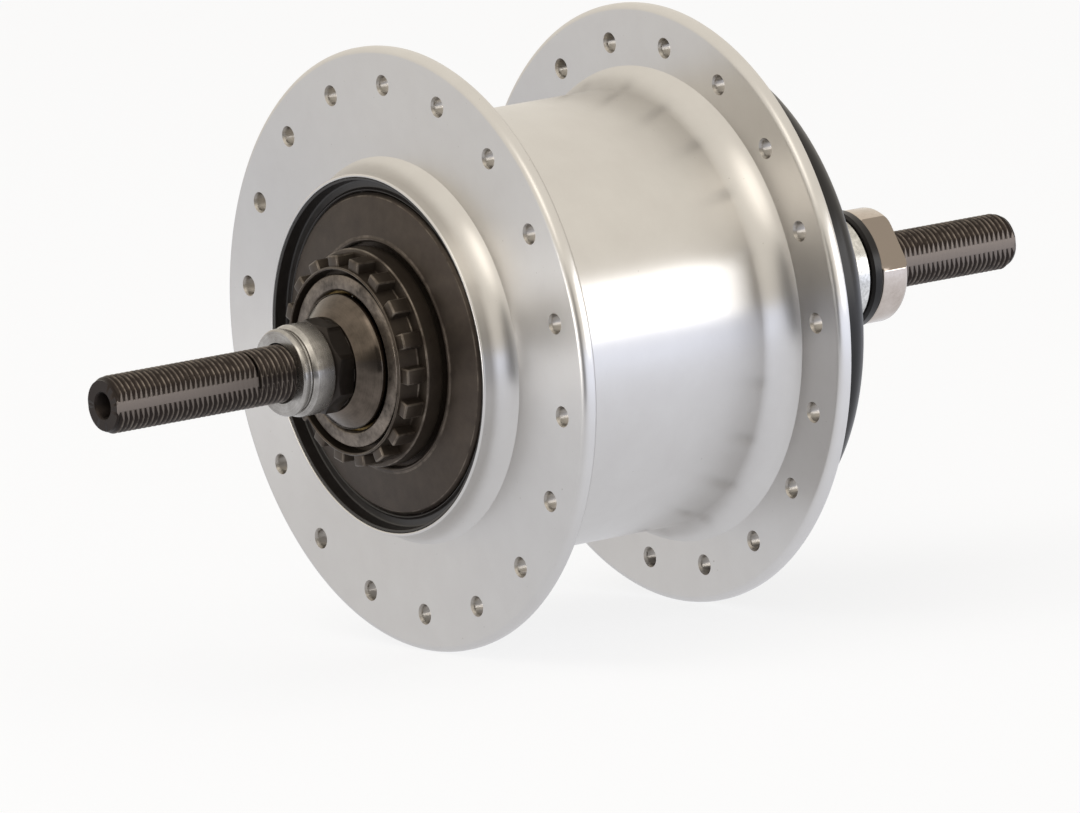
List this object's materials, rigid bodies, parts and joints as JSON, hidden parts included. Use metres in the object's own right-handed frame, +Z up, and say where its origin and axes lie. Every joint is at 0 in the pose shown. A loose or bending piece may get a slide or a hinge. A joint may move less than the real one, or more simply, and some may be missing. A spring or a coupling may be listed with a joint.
{
  "type": "internal gear hub",
  "caption": "Bicycle rear hub with planetary gears inside an aluminium shell, a toothed brake mount on one side, a sprocket driver on the other, and a long threaded axle.",
  "frame": {"origin": "middle of the axle length, on the axle centre line", "axes": "+X forward on the bicycle, +Y along the axle to the brake side (left), +Z up; the drive side is -Y"},
  "size_m": [0.1, 0.183, 0.1],
  "materials": {
    "shell_aluminium": "satin, clear-coated cast and turned aluminium",
    "black_steel": "dark phosphated steel with worn brighter edges",
    "axle_steel": "dark oiled steel with rolled threads",
    "polished_steel": "polished dark steel",
    "dust_ring_steel": "greasy dull steel",
    "zinc_steel": "bright zinc-plated steel",
    "chrome": "bright nickel or chrome plating",
    "driver_steel": "plain satin steel",
    "gear_steel": "ground and oiled steel",
    "ball_steel": "polished hardened steel",
    "brass_cage": "plain pressed brass",
    "black_plastic": "moulded black plastic, slightly glossy",
    "seal_rubber": "black rubber"
  },
  "bodies": {
    "axle_set": {"axle": "axle_steel", "left_cone": "black_steel", "left_shield": "polished_steel", "left_locknut": "zinc_steel", "stop_nut": "zinc_steel", "thrust_washer": "gear_steel", "right_cone": "zinc_steel", "right_spacer": "gear_steel", "right_locknut": "chrome", "return_spring": "gear_steel", "sun_small": "gear_steel", "pawl_springs": "gear_steel", "middle_pawl_1": "gear_steel", "middle_pawl_2": "gear_steel", "large_pawl_1": "gear_steel", "large_pawl_2": "gear_steel"},
    "shift_set": {"shift_sleeve": "gear_steel", "shift_ring": "black_plastic"},
    "shell_set": {"hub_shell": "shell_aluminium", "brake_plate": "black_steel", "brake_ring": "black_steel", "brake_seal": "seal_rubber", "left_cup": "gear_steel", "left_dust_ring": "dust_ring_steel", "clutch_race": "gear_steel", "right_cup": "zinc_steel", "right_cap": "black_plastic"},
    "driver_set": {"driver": "driver_steel", "driver_cup": "gear_steel", "driver_cap": "black_steel"},
    "carrier_set": {"carrier": "gear_steel", "carrier_spring": "gear_steel", "planet_pin_1": "gear_steel", "planet_pin_2": "gear_steel", "planet_pin_3": "gear_steel", "planet_pin_4": "gear_steel"},
    "ring_set": {"ring_gear": "gear_steel", "roller_cam": "gear_steel", "rollers": "ball_steel", "roller_cage": "brass_cage"},
    "sun_middle_set": {"sun_middle": "gear_steel"},
    "sun_large_set": {"sun_large": "gear_steel"},
    "left_ball_set": {"left_balls": "ball_steel", "left_retainer": "brass_cage"},
    "cone_ball_set": {"cone_balls": "ball_steel", "cone_retainer": "brass_cage"},
    "hub_ball_set": {"hub_balls": "ball_steel", "hub_retainer": "brass_cage"},
    "planet_1_set": {"planet_1": "gear_steel"},
    "planet_2_set": {"planet_2": "gear_steel"},
    "planet_3_set": {"planet_3": "gear_steel"},
    "planet_4_set": {"planet_4": "gear_steel"},
    "drive_pawl_1_set": {"drive_pawl_1": "gear_steel"},
    "drive_pawl_2_set": {"drive_pawl_2": "gear_steel"},
    "drive_pawl_3_set": {"drive_pawl_3": "gear_steel"},
    "small_pawl_1_set": {"small_pawl_1": "gear_steel"},
    "small_pawl_2_set": {"small_pawl_2": "gear_steel"}
  },
  "joints": [
    {"name": "shell_spin", "type": "hinge", "parent": "axle_set", "child": "shell_set", "pos_m": [0, 0, 0], "axis": [0, 1, 0], "continuous": true},
    {"name": "ring_spin", "type": "hinge", "parent": "axle_set", "child": "ring_set", "pos_m": [0, 0, 0], "axis": [0, 1, 0], "continuous": true},
    {"name": "carrier_spin", "type": "hinge", "parent": "axle_set", "child": "carrier_set", "pos_m": [0, 0, 0], "axis": [0, 1, 0], "continuous": true},
    {"name": "driver_spin", "type": "hinge", "parent": "axle_set", "child": "driver_set", "pos_m": [0, 0, 0], "axis": [0, 1, 0], "continuous": true},
    {"name": "sun_middle_spin", "type": "hinge", "parent": "axle_set", "child": "sun_middle_set", "pos_m": [0, 0, 0], "axis": [0, 1, 0], "continuous": true},
    {"name": "sun_large_spin", "type": "hinge", "parent": "axle_set", "child": "sun_large_set", "pos_m": [0, 0, 0], "axis": [0, 1, 0], "continuous": true},
    {"name": "planet_1_spin", "type": "hinge", "parent": "carrier_set", "child": "planet_1_set", "pos_m": [0.02, 0, 0], "axis": [0, 1, 0], "continuous": true},
    {"name": "planet_2_spin", "type": "hinge", "parent": "carrier_set", "child": "planet_2_set", "pos_m": [0, 0, -0.02], "axis": [0, 1, 0], "continuous": true},
    {"name": "planet_3_spin", "type": "hinge", "parent": "carrier_set", "child": "planet_3_set", "pos_m": [-0.02, 0, 0], "axis": [0, 1, 0], "continuous": true},
    {"name": "planet_4_spin", "type": "hinge", "parent": "carrier_set", "child": "planet_4_set", "pos_m": [0, 0, 0.02], "axis": [0, 1, 0], "continuous": true},
    {"name": "left_ball_spin", "type": "hinge", "parent": "axle_set", "child": "left_ball_set", "pos_m": [0, 0, 0], "axis": [0, 1, 0], "continuous": true},
    {"name": "cone_ball_spin", "type": "hinge", "parent": "axle_set", "child": "cone_ball_set", "pos_m": [0, 0, 0], "axis": [0, 1, 0], "continuous": true},
    {"name": "hub_ball_spin", "type": "hinge", "parent": "axle_set", "child": "hub_ball_set", "pos_m": [0, 0, 0], "axis": [0, 1, 0], "continuous": true},
    {"name": "shift_turn", "type": "hinge", "parent": "axle_set", "child": "shift_set", "pos_m": [0, 0, 0], "axis": [0, 1, 0], "range_deg": [0, 80]},
    {"name": "small_pawl_1_hinge", "type": "hinge", "parent": "axle_set", "child": "small_pawl_1_set", "pos_m": [0.00515, 0, 0], "axis": [0, 1, 0], "range_deg": [-27, 0]},
    {"name": "small_pawl_2_hinge", "type": "hinge", "parent": "axle_set", "child": "small_pawl_2_set", "pos_m": [-0.00515, 0, 0], "axis": [0, 1, 0], "range_deg": [-27, 0]},
    {"name": "drive_pawl_1_hinge", "type": "hinge", "parent": "carrier_set", "child": "drive_pawl_1_set", "pos_m": [0.0116, 0, 0], "axis": [0, 1, 0], "range_deg": [-16, 0]},
    {"name": "drive_pawl_2_hinge", "type": "hinge", "parent": "carrier_set", "child": "drive_pawl_2_set", "pos_m": [-0.0058, 0, -0.01005], "axis": [0, 1, 0], "range_deg": [-16, 0]},
    {"name": "drive_pawl_3_hinge", "type": "hinge", "parent": "carrier_set", "child": "drive_pawl_3_set", "pos_m": [-0.0058, 0, 0.01005], "axis": [0, 1, 0], "range_deg": [-16, 0]}
  ],
  "couplings": [
    {"joint": "ring_spin", "follows": "shell_spin", "ratio": 1},
    {"joint": "carrier_spin", "follows": "shell_spin", "ratio": 0.75},
    {"joint": "driver_spin", "follows": "shell_spin", "ratio": 0.75},
    {"joint": "sun_middle_spin", "follows": "shell_spin", "ratio": 0.25},
    {"joint": "sun_large_spin", "follows": "shell_spin", "ratio": 0.42857},
    {"joint": "planet_1_spin", "follows": "shell_spin", "ratio": 0.75},
    {"joint": "planet_2_spin", "follows": "shell_spin", "ratio": 0.75},
    {"joint": "planet_3_spin", "follows": "shell_spin", "ratio": 0.75},
    {"joint": "planet_4_spin", "follows": "shell_spin", "ratio": 0.75},
    {"joint": "left_ball_spin", "follows": "shell_spin", "ratio": 0.6202},
    {"joint": "cone_ball_spin", "follows": "shell_spin", "ratio": 0.437},
    {"joint": "hub_ball_spin", "follows": "shell_spin", "ratio": 0.8865}
  ]
}
